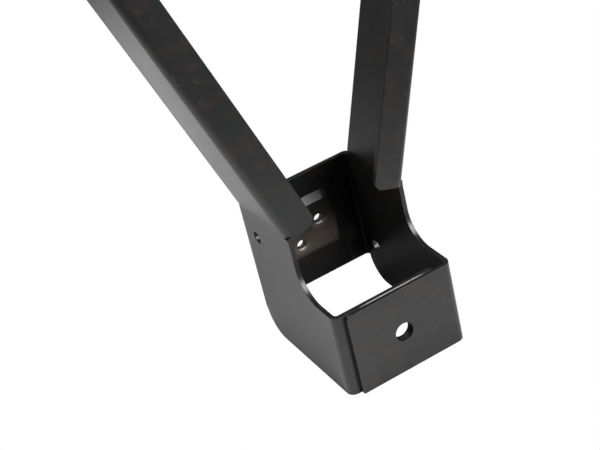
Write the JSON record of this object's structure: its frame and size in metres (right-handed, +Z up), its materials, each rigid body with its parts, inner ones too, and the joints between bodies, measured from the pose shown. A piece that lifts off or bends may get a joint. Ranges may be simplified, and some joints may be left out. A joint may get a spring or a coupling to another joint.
{
  "type": "lighting truss section",
  "caption": "Folded-steel V section of a lighting truss: a box node open at top and bottom, with two angle-section arms spreading upwards.",
  "frame": {"origin": "middle of the node's footprint, at the level of the bottom edges of its side plates", "axes": "+Z up along the post, -Y towards the double front wall, +X towards the arm whose front tab lies outside"},
  "size_m": [0.2172, 0.09, 0.3059],
  "materials": {
    "powder_coat": "semi-gloss fine-textured black powder coat",
    "coated_weld": "weld bead under the same black powder coat"
  },
  "bodies": {
    "root": {"left_arm_frame": "powder_coat", "right_arm_frame": "powder_coat", "back_plate": "powder_coat", "left_back_weld": "coated_weld", "right_back_weld": "coated_weld", "front_lap_weld": "coated_weld"}
  },
  "joints": []
}
